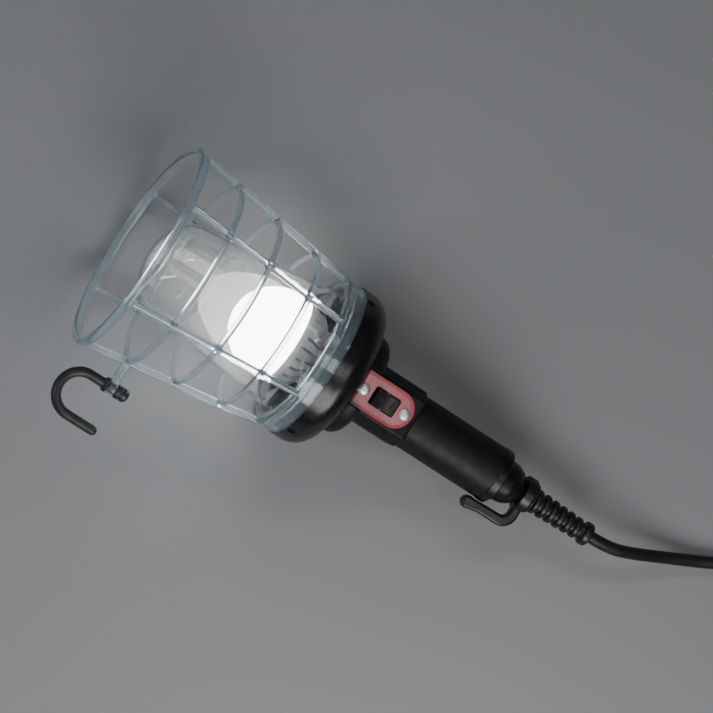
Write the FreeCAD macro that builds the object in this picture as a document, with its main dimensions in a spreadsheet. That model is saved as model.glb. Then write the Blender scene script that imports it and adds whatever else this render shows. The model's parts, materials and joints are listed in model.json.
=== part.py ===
import FreeCAD, Part
import math
import os

import Sketcher
from FreeCAD import Placement, Rotation, Vector

# A caged hand lamp: clear guard, clear globe, LED bulb, glossy head, switch block and grip,
# two hooks and a mains cord.  Everything is drawn upright in the lamp's own coordinates:
# X runs along the lamp's axis from the guard's mouth to the cord, +Z is the switch side and
# both hooks hang towards -Y.  At the end one placement lays the lamp on its side, on the
# mouth ring and the head's rim.  All lengths are millimetres.

DIMENSIONS = [
    ("ring_radius", 70.0, "outside radius of the guard's mouth ring"),
    ("ring_width", 5.0, "radial width of the mouth ring"),
    ("ring_length", 6.0, "length of the mouth ring along the axis"),
    ("ring_corner", 1.6, "corner radius of the mouth ring's section"),
    ("rib_count", 6, "ribs of the guard"),
    ("rib_width", 3.8, "width of a rib round the guard"),
    ("rib_depth", 5.0, "radial depth of a rib"),
    ("rib_rear_centre", 50.8, "radius of a rib's centre line at the base collar"),
    ("hoop_size", 3.6, "width and depth of a hoop's section"),
    ("hoop_front", 34.8, "place of the first hoop"),
    ("hoop_pitch", 31.3, "spacing of the three hoops"),
    ("collar_front", 121.5, "front face of the guard's base collar"),
    ("rim_front", 134.0, "front edge of the head housing"),
    ("rim_radius", 52.5, "outside radius of the head housing"),
    ("globe_front", 9.4, "apex of the globe"),
    ("globe_wall", 2.0, "wall of the globe"),
    ("globe_base_radius", 40.5, "outside radius of the globe where it flares"),
    ("bulb_front", 73.4, "apex of the bulb's dome"),
    ("bulb_radius", 28.2, "outside radius of the bulb's dome"),
    ("bulb_joint", 111.0, "where the dome meets the heat sink"),
    ("fin_count", 24, "slots round the heat sink"),
    ("neck_front", 157.7, "front face of the handle, against the head housing"),
    ("boss_radius", 33.8, "radius of the handle's front step"),
    ("grip_radius", 18.0, "radius of the round grip"),
    ("grip_rear", 266.0, "rear end of the grip"),
    ("grip_bore", 15.0, "inside radius of the grip"),
    ("block_rear", 202.4, "rear end of the switch block"),
    ("block_half_width", 19.5, "half the width of the switch block"),
    ("seat_height", 20.3, "height of the seat for the switch plate"),
    ("gasket_thickness", 0.7, "thickness of the plate gasket"),
    ("plate_thickness", 2.2, "thickness of the switch plate"),
    ("plate_front", 158.6, "front edge of the switch plate"),
    ("plate_length", 39.6, "length of the switch plate"),
    ("plate_half_width", 12.0, "half the width of the switch plate and radius of its end"),
    ("plate_screw_front", 162.9, "place of the front plate screw"),
    ("plate_screw_rear", 193.0, "place of the rear plate screw"),
    ("pivot_x", 178.0, "rocker's pivot along the axis"),
    ("pivot_z", 20.5, "height of the rocker's pivot"),
    ("lever_z", 9.0, "height of the contact lever's pivot"),
    ("window_length", 18.0, "length of the rocker's window"),
    ("window_width", 12.0, "width of the rocker's window"),
    ("cord_radius", 4.0, "radius of the cord"),
    ("boot_rear", 343.0, "rear end of the strain relief"),
    ("journal_radius", 8.1, "radius of the neck that the rear hook turns on"),
    ("hook_rod_radius", 3.15, "radius of the front hook's rod"),
    ("hook_shank_y", -81.5, "place of the front hook's shank across the lamp"),
    ("hook_bend_radius", 14.0, "radius of the front hook's bend, to the rod's middle"),
    ("hook_bend_x", 20.0, "place of the front hook's bend along the axis"),
    ("hook_neck_radius", 2.3, "radius of the bare rod behind the front hook's sleeve"),
    ("lug_front", 32.2, "front face of the lug that carries the front hook"),
    ("lug_length", 5.2, "length of the lug's eye"),
    ("lug_eye_radius", 4.6, "outside radius of the lug's eye"),
]

ROCKER_TILT = 7.0           # degrees that the rocker leans either way from level
HOOP_INSET = 1.9            # how far a hoop's middle lies inside the ribs' middle line
CRUMB = 1.0                 # volume of the chips that a cut may leave, which are thrown away
RIB_FIRST_ANGLE = 30.0      # angle of the first rib from the switch side
RIB_START = 3.0             # where the ribs' middle line leaves the middle of the mouth ring
RIB_END_DEPTH = 2.0         # how far the ribs run into the base collar
RIM_LENGTH = 7.0            # length of the head housing's straight rim
RIM_SHOULDER = 13.95        # radius of the head housing's outside corner
RIM_SCREW_SETBACK = 3.2     # guard screws, behind the rim's front edge
NECK_SCREW_CIRCLE = 28.5    # radius at which the neck screws stand
SCREW_ANGLES = (60.0, 180.0, 300.0)   # guard and neck screws, from the switch side
FLANGE_FRONT = 124.9        # the globe's flange, between the guard's collar and the gasket
FLANGE_REAR = 127.9
FLANGE_RADIUS = 47.4
GASKET_REAR = 131.5         # the globe gasket ends against the head housing
GASKET_INSIDE = 44.4
SINK_REAR = 138.6           # where the heat sink meets the screw base
SCREW_BASE_SETBACK = 3.5    # end of the screw base, ahead of the handle's front face
SOCKET_FRONT = 139.5        # mouth of the lamp holder
TERMINAL_FOOT = -3.0        # lower ends of the switch's blades
SWITCH_BOTTOM = 3.0         # underside of the switch body
SWITCH_TOP = 20.2
STUD_FOOT = 8.0             # floor of the switch, on which the contact studs stand
BOOT_RIBS = 6               # ribs of the strain relief
CAP_NECK = 30.3             # end of the end cap's neck, behind the grip


class Size:
    """A length that knows its value and the spreadsheet expression that gives it."""

    def __init__(self, value, text):
        self.value = value
        self.text = text

    def __add__(self, other):
        other = as_size(other)
        return Size(self.value + other.value, f"({self.text} + {other.text})")

    def __sub__(self, other):
        other = as_size(other)
        return Size(self.value - other.value, f"({self.text} - {other.text})")

    def __mul__(self, other):
        other = as_size(other)
        return Size(self.value * other.value, f"({self.text} * {other.text})")

    def __truediv__(self, other):
        other = as_size(other)
        return Size(self.value / other.value, f"({self.text} / {other.text})")

    def __neg__(self):
        return Size(-self.value, f"(0 - {self.text})")

    def __radd__(self, other):
        return as_size(other) + self

    def __rsub__(self, other):
        return as_size(other) - self

    __rmul__ = __mul__


def as_size(number):
    if isinstance(number, Size):
        return number
    return Size(float(number), repr(float(number)))


doc = FreeCAD.newDocument("WorkLight")
sheet = doc.addObject("Spreadsheet::Sheet", "dims")
dims = {}
for row, (word, number, meaning) in enumerate(DIMENSIONS, start=1):
    sheet.set(f"A{row}", meaning)
    sheet.set(f"B{row}", str(number))
    sheet.setAlias(f"B{row}", word)
    dims[word] = Size(float(number), f"dims.{word}")
doc.recompute()


class Bend:
    """The stretch of an outline that starts here is an arc through a point near via."""

    def __init__(self, radius, via):
        self.radius = as_size(radius)
        self.via = via


parts = {}


def keep(item, label):
    """Register an object as a sub-part under the name that its file gets."""
    item.Label = label
    parts[label] = item
    return item


def vector_of(point):
    return Vector(as_size(point[0]).value, as_size(point[1]).value, 0)


def bind(sketch, kind, geometry, end, size):
    """Fix one coordinate of a point; a point on an axis is tied to that axis."""
    size = as_size(size)
    if size.value == 0:
        axis = -2 if kind == "DistanceX" else -1
        sketch.addConstraint(Sketcher.Constraint("PointOnObject", geometry, end, axis))
        return
    number = sketch.addConstraint(Sketcher.Constraint(kind, -1, 1, geometry, end, size.value))
    if "dims." in size.text:
        sketch.setExpression(f"Constraints[{number}]", size.text)


def outline(sketch, points):
    """Draw a closed outline: (x, y) starts a line, (x, y, Bend) starts an arc."""
    ends = []
    first = sketch.GeometryCount
    for place, point in enumerate(points):
        start = vector_of(point)
        stop = vector_of(points[(place + 1) % len(points)])
        if len(point) == 3:
            arc = Part.Arc(start, vector_of(point[2].via), stop)
            circle = Part.ArcOfCircle(arc.toShape().Curve, *arc.toShape().ParameterRange)
            geometry = sketch.addGeometry(circle, False)
        else:
            geometry = sketch.addGeometry(Part.LineSegment(start, stop), False)
        forwards = (sketch.getPoint(geometry, 1) - start).Length < 1e-4
        ends.append((1, 2) if forwards else (2, 1))
    count = len(points)
    for place in range(count):
        after = (place + 1) % count
        joint = Sketcher.Constraint("Coincident", first + place, ends[place][1],
                                    first + after, ends[after][0])
        sketch.addConstraint(joint)
    for place, point in enumerate(points):
        bind(sketch, "DistanceX", first + place, ends[place][0], point[0])
        bind(sketch, "DistanceY", first + place, ends[place][0], point[1])
        if len(point) == 3:
            radius = point[2].radius
            number = sketch.addConstraint(Sketcher.Constraint("Radius", first + place, radius.value))
            if "dims." in radius.text:
                sketch.setExpression(f"Constraints[{number}]", radius.text)


def circle(sketch, centre, radius):
    radius = as_size(radius)
    geometry = sketch.addGeometry(Part.Circle(vector_of(centre), Vector(0, 0, 1), radius.value), False)
    bind(sketch, "DistanceX", geometry, 3, centre[0])
    bind(sketch, "DistanceY", geometry, 3, centre[1])
    number = sketch.addConstraint(Sketcher.Constraint("Radius", geometry, radius.value))
    if "dims." in radius.text:
        sketch.setExpression(f"Constraints[{number}]", radius.text)


def rounded_rectangle(sketch, left, bottom, right, top, corner):
    """A rectangle with four equal round corners."""
    near = corner * 0.3 if isinstance(corner, (int, float)) else corner.value * 0.3
    corner = as_size(corner)
    left, bottom, right, top = (as_size(side) for side in (left, bottom, right, top))
    outline(sketch, [
        (left + corner, bottom),
        (right - corner, bottom, Bend(corner, (right.value - near, bottom.value + near))),
        (right, bottom + corner),
        (right, top - corner, Bend(corner, (right.value - near, top.value - near))),
        (right - corner, top),
        (left + corner, top, Bend(corner, (left.value + near, top.value - near))),
        (left, top - corner),
        (left, bottom + corner, Bend(corner, (left.value + near, bottom.value + near))),
    ])


def new_body(name):
    return doc.addObject("PartDesign::Body", name)


def new_sketch(body, plane, offset=0):
    """A sketch on one of the body's own planes, moved along the plane's normal."""
    sketch = body.newObject("Sketcher::SketchObject", body.Name + "_sketch")
    support = [item for item in body.Origin.OriginFeatures if item.Role == plane]
    sketch.AttachmentSupport = [(support[0], "")]
    sketch.MapMode = "FlatFace"
    offset = as_size(offset)
    sketch.AttachmentOffset = Placement(Vector(0, 0, offset.value), Rotation())
    if "dims." in offset.text:
        sketch.setExpression(".AttachmentOffset.Base.z", offset.text)
    return sketch


def feature(body, kind, sketch, **settings):
    """Add a PartDesign feature made from a sketch; a Size setting is tied to the sheet."""
    item = body.newObject(f"PartDesign::{kind}", body.Name + "_" + kind.lower())
    item.Profile = sketch
    for setting, value in settings.items():
        if isinstance(value, Size):
            setattr(item, setting, value.value)
            item.setExpression(setting, value.text)
        else:
            setattr(item, setting, value)
    doc.recompute()
    return item


def revolve(body, points, kind="Revolution"):
    """Turn an (x, radius) outline about the lamp's axis."""
    sketch = new_sketch(body, "XZ_Plane")
    outline(sketch, points)
    return feature(body, kind, sketch, ReferenceAxis=(sketch, ["H_Axis"]), Angle=360.0)


def turned(name, points):
    """A sub-part turned about the lamp's axis in one go."""
    body = new_body(name)
    revolve(body, points)
    return keep(body, name)


def polar(body, original, count):
    """Repeat a feature round the lamp's axis."""
    pattern = body.newObject("PartDesign::PolarPattern", body.Name + "_pattern")
    pattern.Originals = [original]
    axis = [item for item in body.Origin.OriginFeatures if item.Role == "X_Axis"]
    pattern.Axis = (axis[0], [""])
    pattern.Angle = 360.0
    pattern.Occurrences = int(count.value)
    if "dims." in count.text:
        pattern.setExpression("Occurrences", count.text)
    body.Tip = pattern
    doc.recompute()
    return pattern


def fillet(body, wanted, radius):
    """Round the edges of the body's tip for which wanted(edge) is true."""
    doc.recompute()
    tip = body.Tip
    names = [f"Edge{number}" for number, edge in enumerate(tip.Shape.Edges, start=1) if wanted(edge)]
    item = body.newObject("PartDesign::Fillet", body.Name + "_fillet")
    item.Base = (tip, names)
    item.Radius = radius
    doc.recompute()
    return item


def group(name, members):
    """One sub-part made of several separate solids."""
    item = doc.addObject("Part::Compound", name)
    item.Links = members
    return keep(item, name)


def about_axis(angle):
    """A turn about the lamp's axis, from the switch side towards -Y."""
    return Placement(Vector(0, 0, 0), Rotation(Vector(1, 0, 0), angle))


def rod_path(points, bend_share=0.45):
    """Straight runs joined by arcs as large as the runs on both sides allow."""
    corners = []
    for before, here, after in zip(points, points[1:], points[2:]):
        into = here - before
        out = after - here
        turn = into.getAngle(out)
        reach = bend_share * min(into.Length, out.Length)
        corners.append((here, into.normalize(), out.normalize(), reach, reach / math.tan(turn / 2)))
    edges = []
    last = points[0]
    for here, into, out, reach, radius in corners:
        start = here - into * reach
        stop = here + out * reach
        to_centre = (out - into).normalize()
        middle_gap = math.hypot(radius, reach) - radius
        edges.append(Part.LineSegment(last, start).toShape())
        edges.append(Part.Arc(start, here + to_centre * middle_gap, stop).toShape())
        last = stop
    edges.append(Part.LineSegment(last, points[-1]).toShape())
    return Part.Wire(edges), [corner[4] for corner in corners]


def rod(name, points, radius):
    """A round rod, wire or cord along a route of straight runs and arcs."""
    path, radii = rod_path(points)
    start = path.Edges[0]
    normal = start.tangentAt(start.FirstParameter)
    section = Part.Wire([Part.Circle(points[0], normal, radius).toShape()])
    solid = path.makePipeShell([section], True, False)
    item = doc.addObject("Part::Feature", name)
    item.Shape = solid
    expected = math.pi * radius ** 2 * path.Length
    print(f"{name}: length {path.Length:.1f}, radii {[round(value, 1) for value in radii]},"
          f" volume / expected {solid.Volume / expected:.4f}")
    return keep(item, name)


# ---------------------------------------------------------------- guard and globe

def rib_centre(x):
    """Radius of a rib's middle line at a place along the axis."""
    front = dims["ring_radius"] - dims["ring_width"] / 2
    run = dims["collar_front"] + RIB_END_DEPTH - RIB_START
    return front - (x - RIB_START) * (front - dims["rib_rear_centre"]) / run


def rib_section(body, x):
    sketch = new_sketch(body, "YZ_Plane", x)
    half = dims["rib_width"] / 2
    low = rib_centre(x) - dims["rib_depth"] / 2
    high = rib_centre(x) + dims["rib_depth"] / 2
    outline(sketch, [(-half, low), (half, low), (half, high), (-half, high)])
    return sketch


def make_guard():
    """The guard is one moulding; it is split into its bars so that each stays a simple solid."""
    make_guard_collar()
    ring = new_body("guard_ring")
    section = new_sketch(ring, "XZ_Plane")
    rounded_rectangle(section, 0, dims["ring_radius"] - dims["ring_width"], dims["ring_length"],
                      dims["ring_radius"], dims["ring_corner"])
    feature(ring, "Revolution", section, ReferenceAxis=(section, ["H_Axis"]), Angle=360.0)
    keep(ring, "guard_ring")
    group("guard_hoops", [make_hoop(number) for number in range(3)])
    bars = []
    for number in range(int(dims["rib_count"].value)):
        bar = new_body(f"guard_bar_{number}")
        near = rib_section(bar, dims["ring_length"])
        far = rib_section(bar, dims["collar_front"] + RIB_END_DEPTH)
        loft = bar.newObject("PartDesign::AdditiveLoft", f"guard_bar_loft_{number}")
        loft.Profile = near
        loft.Sections = [far]
        loft.Ruled = True
        bar.Placement = about_axis(RIB_FIRST_ANGLE + 60.0 * number)
        bars.append(bar)
    all_bars = doc.addObject("Part::Compound", "guard_bars")
    all_bars.Links = bars
    front = dims["collar_front"].value
    collar_inside = 40.0
    collar_outside = dims["rim_radius"].value - 0.6
    room = [band(front, front + 5.0, collar_inside, collar_outside)]
    half = dims["hoop_size"].value / 2
    for number in range(3):
        x, centre = hoop_place(number)
        room.append(band(x.value - half, x.value + half, centre.value - 8.0, centre.value + half))
    keep(cut_away("guard_ribs", all_bars, room), "guard_ribs")
    make_lug()


def band(start, stop, inside, outside):
    """The space round the lamp's axis between two radii."""
    axis = Vector(1, 0, 0)
    whole = Part.makeCylinder(outside, stop - start, Vector(start, 0, 0), axis)
    return whole.cut(Part.makeCylinder(inside, stop - start, Vector(start, 0, 0), axis))


def cut_away(name, base, tools):
    """What is left of an object, as it stands upright, after others are taken out of it."""
    doc.recompute()
    item = doc.addObject("Part::Feature", name)
    left = base.Shape.cut(tools)
    item.Shape = Part.makeCompound([solid for solid in left.Solids if solid.Volume > CRUMB])
    return item


def make_guard_collar():
    """The guard's base: a ring outside the globe's flange that slips into the head's rim."""
    front = dims["collar_front"]
    rim = dims["rim_front"]
    radius = dims["rim_radius"]
    outside = radius - 0.6
    spigot = radius - 2.7
    bore = radius - 4.8
    lip = radius - 7.0
    body = new_body("guard_collar")
    revolve(body, [
        (front, lip), (front, outside - 1.0, Bend(1.0, (front.value + 0.3, outside.value - 0.3))),
        (front + 1.0, outside), (rim, outside), (rim, spigot), (rim + 6.2, spigot), (rim + 6.2, bore),
        (front + 3.2, bore), (front + 3.2, lip),
    ])
    rim_screw_holes(body, 1.6)
    return keep(body, "guard_collar")


def hoop_place(number):
    """Place along the axis and radius of the middle of a hoop's section."""
    x = dims["hoop_front"] + dims["hoop_pitch"] * number
    return x, rib_centre(x) - HOOP_INSET


def make_hoop(number):
    half = dims["hoop_size"] / 2
    x, centre = hoop_place(number)
    body = new_body(f"guard_hoop_{number}")
    section = new_sketch(body, "XZ_Plane")
    rounded_rectangle(section, x - half, centre - half, x + half, centre + half, 1.3)
    feature(body, "Revolution", section, ReferenceAxis=(section, ["H_Axis"]), Angle=360.0)
    return body


def make_lug():
    """The eye that carries the front hook, on a tongue that stands on the lowest rib."""
    shank = dims["hook_shank_y"]
    front = dims["lug_front"]
    foot = rib_centre(front).value + dims["rib_depth"].value / 2
    body = new_body("guard_lug_blank")
    tongue = new_sketch(body, "YZ_Plane", front)
    outline(tongue, [(shank, 3.6), (shank, -3.6), (1.0 - foot, -2.6), (1.0 - foot, 2.6)])
    feature(body, "Pad", tongue, Length=dims["lug_length"])
    eye = new_sketch(body, "YZ_Plane", front)
    circle(eye, (shank, 0), dims["lug_eye_radius"])
    feature(body, "Pad", eye, Length=dims["lug_length"])
    bore = new_sketch(body, "YZ_Plane", front)
    circle(bore, (shank, 0), dims["hook_neck_radius"] + 0.06)
    feature(body, "Pocket", bore, Length=dims["lug_length"], Reversed=True)
    slope = math.atan2(rib_centre(RIB_START).value - dims["rib_rear_centre"].value,
                       dims["collar_front"].value + RIB_END_DEPTH - RIB_START)
    rib_room = Part.makeBox(30.0, 20.0, 20.0, Vector(-5.0, 0.0, -10.0))
    rib_room.Placement = Placement(Vector(front.value, -foot, 0.0),
                                   Rotation(Vector(0, 0, 1), math.degrees(slope)))
    keep(cut_away("guard_lug", body, [rib_room]), "guard_lug")


def rim_screw_holes(body, radius):
    """Three radial holes through the rim, the first one opposite the switch."""
    hole = new_sketch(body, "XY_Plane", -45.0)
    circle(hole, (dims["rim_front"] + RIM_SCREW_SETBACK, 0), radius)
    cut = feature(body, "Pocket", hole, Length=9.0)
    polar(body, cut, as_size(3))


def neck_screw_holes(body, radius, start, depth):
    """Three holes along the axis for the screws that join head and handle."""
    hole = new_sketch(body, "YZ_Plane", start)
    circle(hole, (0, -NECK_SCREW_CIRCLE), radius)
    cut = feature(body, "Pocket", hole, Length=depth, Reversed=True)
    polar(body, cut, as_size(3))


def make_globe():
    """A rounded jar: a shallow cap, a round shoulder, a slightly conical side and a flange."""
    wall = dims["globe_wall"]
    front = dims["globe_front"]
    base = dims["globe_base_radius"]
    cap = 45.0
    shoulder = 21.8
    cap_edge = 18.8
    cap_angle = math.asin(cap_edge / cap)
    side_angle = math.radians(5.9)
    centre_x = cap - (cap - shoulder) * math.cos(cap_angle)
    centre_r = (cap - shoulder) * math.sin(cap_angle)

    def on_cap(radius, angle):
        return front + (cap - radius * math.cos(angle)), radius * math.sin(angle)

    def on_shoulder(radius, angle):
        return front + (centre_x - radius * math.cos(angle)), centre_r + radius * math.sin(angle)

    square = math.pi / 2 - side_angle
    middle = (cap_angle + square) / 2
    inner_cap = cap - wall.value
    inner_shoulder = shoulder - wall.value
    body = new_body("globe")
    revolve(body, [
        (front, 0, Bend(cap, on_cap(cap, cap_angle / 2))),
        (*on_cap(cap, cap_angle), Bend(shoulder, on_shoulder(shoulder, middle))),
        on_shoulder(shoulder, square), (115.0, base), (121.2, 45.1), (FLANGE_FRONT, 45.1),
        (FLANGE_FRONT, FLANGE_RADIUS), (FLANGE_REAR, FLANGE_RADIUS), (FLANGE_REAR, 42.4), (122.8, 42.4),
        (115.6, base - wall),
        (*on_shoulder(inner_shoulder, square), Bend(inner_shoulder, on_shoulder(inner_shoulder, middle))),
        (*on_cap(inner_cap, cap_angle), Bend(inner_cap, on_cap(inner_cap, cap_angle / 2))),
        (front + wall, 0),
    ])
    return keep(body, "globe")


# ---------------------------------------------------------------- head housing

def make_head_housing():
    rim = dims["rim_front"]
    radius = dims["rim_radius"]
    neck = dims["neck_front"]
    body = new_body("head_housing")
    step = rim + RIM_LENGTH
    revolve(body, [
        (rim, radius - 2.4), (rim, radius), (step, radius, Bend(RIM_SHOULDER, (147.9, 50.6))),
        (rim + 19.2, radius - 7.2), (neck, 34.4), (neck, 24.0), (neck - 3.0, 24.0),
        (neck - 3.0, 33.2), (150.4, 43.2), (143.5, GASKET_INSIDE), (GASKET_REAR, GASKET_INSIDE),
        (GASKET_REAR, FLANGE_RADIUS), (step, FLANGE_RADIUS), (step, radius - 2.4),
    ])
    rim_screw_holes(body, 2.7)
    neck_screw_holes(body, 2.0, neck - 4.0, 6.0)
    return keep(body, "head_housing")


# ---------------------------------------------------------------- fasteners

def new_screw(name, head_radius, head_height, shank_radius, shank_length):
    """A pan-head screw with a cross recess; its head stands on z = 0."""
    body = new_body(name)
    sketch = new_sketch(body, "XZ_Plane")
    edge = head_height * 0.4
    rise = head_height - edge
    crown = (head_radius ** 2 + rise ** 2) / (2 * rise)
    outline(sketch, [
        (0, -shank_length), (shank_radius * 0.6, -shank_length), (shank_radius, 1.2 - shank_length),
        (shank_radius, 0), (head_radius, 0),
        (head_radius, edge, Bend(crown, (head_radius * 0.6, edge + rise * 0.65))), (0, head_height),
    ])
    feature(body, "Revolution", sketch, ReferenceAxis=(sketch, ["V_Axis"]), Angle=360.0)
    cross = new_sketch(body, "XY_Plane", head_height)
    arm = head_radius * 0.55
    half = head_radius * 0.12
    corners = [(half, half), (half, arm), (-half, arm), (-half, half), (-arm, half), (-arm, -half),
               (-half, -half), (-half, -arm), (half, -arm), (half, -half), (arm, -half), (arm, half)]
    outline(cross, corners)
    feature(body, "Pocket", cross, Length=head_height * 0.6)
    return body


def screws_round_axis(name, start, outwards, sizes):
    """Three screws round the lamp: radial when outwards, else pointing along the axis."""
    members = []
    for number, angle in enumerate(SCREW_ANGLES):
        screw = new_screw(f"{name}_{number}", *sizes)
        facing = Rotation() if outwards else Rotation(Vector(0, 1, 0), -90)
        screw.Placement = about_axis(angle).multiply(Placement(start, facing))
        members.append(screw)
    return group(name, members)


# ---------------------------------------------------------------- bulb and socket

def make_bulb():
    front = dims["bulb_front"]
    radius = dims["bulb_radius"]
    joint = dims["bulb_joint"]
    wall = 1.2
    middle = front + radius
    turned("bulb_dome", [
        (front, 0, Bend(radius, (middle.value - 19.94, 19.94))), (middle, radius), (joint, radius),
        (joint, radius - wall), (middle, radius - wall, Bend(radius - wall, (middle.value - 19.09, 19.09))),
        (front + wall, 0),
    ])
    board_front = joint - 3.4
    board_rear = joint - 1.8
    board_radius = 25.5
    turned("bulb_board", [(board_front, 0), (board_front, board_radius), (board_rear, board_radius),
                          (board_rear, 0)])
    chips = []
    chip_side = 3.2
    chip_height = 0.8
    chip_circle = 15.0
    for number in range(12):
        chip = doc.addObject("Part::Box", f"led_chip_{number}")
        chip.Length = chip_height
        chip.Width = chip_side
        chip.Height = chip_side
        centre = Placement(Vector(board_front.value - chip_height, -chip_side / 2, chip_circle), Rotation())
        chip.Placement = about_axis(30.0 * number).multiply(centre)
        chips.append(chip)
    group("led_chips", chips)
    sink = new_body("bulb_heat_sink")
    revolve(sink, [
        (joint - 1.8, 0), (joint - 1.8, 26.8), (joint, 26.8), (joint, radius), (joint + 3.0, radius - 0.2),
        (SINK_REAR, 18.4), (SINK_REAR, 11.5), (joint + 2.5, 11.5), (joint + 2.5, 0),
    ])
    slot_width = 2.0
    slot = new_sketch(sink, "XZ_Plane", slot_width / 2)
    slot_rear = SINK_REAR - 1.4
    outline(slot, [(joint + 5.0, 31.0), (slot_rear, 31.0), (slot_rear, 14.8), (joint + 5.0, 21.0)])
    cut = feature(sink, "Pocket", slot, Length=slot_width)
    polar(sink, cut, dims["fin_count"])
    keep(sink, "bulb_heat_sink")
    make_driver(joint)
    base_rear = dims["neck_front"] - SCREW_BASE_SETBACK
    turned("bulb_base_shell", thread_outline(SINK_REAR, base_rear.value, 12.5, 13.1, 0.5))
    turned("bulb_base_insulator", [(base_rear, 0), (base_rear, 12.2), (base_rear + 3.0, 6.0),
                                   (base_rear + 3.0, 0)])
    turned("bulb_base_contact", [(base_rear + 3.0, 0), (base_rear + 3.0, 4.8), (base_rear + 4.2, 3.6),
                                 (base_rear + 4.2, 0)])


def make_driver(joint):
    """A small circuit board on edge with a capacitor and a transformer."""
    board = doc.addObject("Part::Box", "driver_board")
    board.Length = 20.0
    board.Width = 16.0
    board.Height = 1.4
    board.Placement.Base = Vector(joint.value + 4.0, -8.0, -0.7)
    capacitor = doc.addObject("Part::Cylinder", "driver_capacitor")
    capacitor.Radius = 3.4
    capacitor.Height = 10.0
    capacitor.Placement = Placement(Vector(joint.value + 12.0, -2.5, 4.0), Rotation(Vector(0, 1, 0), 90))
    transformer = doc.addObject("Part::Box", "driver_transformer")
    transformer.Length = 7.0
    transformer.Width = 8.0
    transformer.Height = 6.0
    transformer.Placement.Base = Vector(joint.value + 4.5, -3.0, 0.5)
    fused = doc.addObject("Part::MultiFuse", "bulb_driver")
    fused.Shapes = [board, capacitor, transformer]
    keep(fused, "bulb_driver")


def thread_outline(start, stop, root, crest, wall, pitch=2.8):
    """A rolled sheet-metal thread as rings: root and crest by turns, one wall thick."""
    turns = round((stop - start) / pitch)
    outside = []
    for number in range(turns):
        x = start + (stop - start) * number / turns
        outside.append((x, root))
        outside.append((x + (stop - start) / turns / 2, crest))
    outside.append((stop, root))
    inside = [(x, radius - wall) for x, radius in reversed(outside)]
    return outside + inside


def make_socket():
    """The lamp holder: a wide cup in the head and a narrower end inside the handle."""
    neck = dims["neck_front"]
    front = SOCKET_FRONT
    floor = neck + 2.3
    turned("socket_body", [
        (front, 15.2), (front, 19.5), (neck - 0.3, 19.5), (neck - 0.3, 14.6), (neck + 4.1, 14.6),
        (neck + 4.1, 3.0), (floor, 3.0), (floor, 10.2), (neck - 1.7, 10.2), (neck - 1.7, 15.2),
    ])
    turned("socket_shell", thread_outline(front + 0.5, neck.value - 2.0, 14.3, 14.9, 0.5))
    contact = new_body("socket_contact")
    width = 6.0
    tongue = new_sketch(contact, "XZ_Plane", width / 2)
    outline(tongue, [(floor, -9.0), (floor, 9.0), (floor - 0.7, 9.0), (floor - 0.7, 3.5),
                     (floor - 1.4, 1.5), (floor - 1.4, -1.5), (floor - 0.7, -3.5), (floor - 0.7, -9.0)])
    feature(contact, "Pad", tongue, Length=width, Reversed=True)
    keep(contact, "socket_contact")
    bracket = new_body("socket_bracket")
    revolve(bracket, [(neck - 4.5, 19.7), (neck - 4.5, 31.8), (neck - 3.0, 31.8), (neck - 3.0, 21.1),
                      (neck - 0.3, 21.1), (neck - 0.3, 19.7)])
    neck_screw_holes(bracket, 2.0, neck - 6.0, 4.0)
    keep(bracket, "socket_bracket")


# ---------------------------------------------------------------- handle

def make_handle():
    half = dims["block_half_width"]
    seat = dims["seat_height"]
    neck = dims["neck_front"]
    boss = dims["boss_radius"]
    grip = dims["grip_radius"]
    bore = dims["grip_bore"]
    top = dims["plate_half_width"] + 1.3
    body = new_body("handle_body")
    block_front = neck + 3.3
    section = new_sketch(body, "YZ_Plane", block_front)
    outline(section, [(half, -12.0), (half, 11.0), (top, seat), (-top, seat), (-half, 11.0), (-half, -12.0),
                      (-12.5, -20.0), (12.5, -20.0)])
    feature(body, "Pad", section, Length=dims["block_rear"] - block_front)
    fillet(body, lambda edge: edge.BoundBox.XLength > 40.0, 2.6)
    rear = dims["block_rear"].value
    fillet(body, lambda edge: edge.BoundBox.XMin > rear - 0.01, 2.2)
    revolve(body, [
        (neck, 0), (neck, boss), (neck + 2.8, boss, Bend(7.857, (neck + 8.6, 31.3))),
        (neck + 10.6, boss - 8.8), (neck + 12.0, grip), (dims["grip_rear"], grip), (dims["grip_rear"], 0),
    ])
    socket_room = neck + 4.6
    revolve(body, [(neck, 0), (neck, 16.2), (socket_room, 16.2), (socket_room, bore),
                   (dims["grip_rear"], bore), (dims["grip_rear"], 0)], "Groove")
    notch = new_sketch(body, "XY_Plane", seat)
    outline(notch, [(neck - 1.0, -top), (dims["block_rear"], -top), (dims["block_rear"], top),
                    (neck - 1.0, top)])
    feature(body, "Pocket", notch, Length=20.0, Reversed=True)
    window = new_sketch(body, "XY_Plane", seat)
    middle = dims["pivot_x"]
    room_half_length = 11.4
    room_half_width = 7.6
    rounded_rectangle(window, middle - room_half_length, -room_half_width, middle + room_half_length,
                      room_half_width, 1.0)
    feature(body, "Pocket", window, Length=22.0)
    pilots = new_sketch(body, "XY_Plane", seat)
    pilot_radius = 1.7
    circle(pilots, (dims["plate_screw_front"], 0), pilot_radius)
    circle(pilots, (dims["plate_screw_rear"], 0), pilot_radius)
    feature(body, "Pocket", pilots, Length=3.6)
    neck_screw_holes(body, 1.9, neck, 5.2)
    return keep(body, "handle_body")


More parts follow.
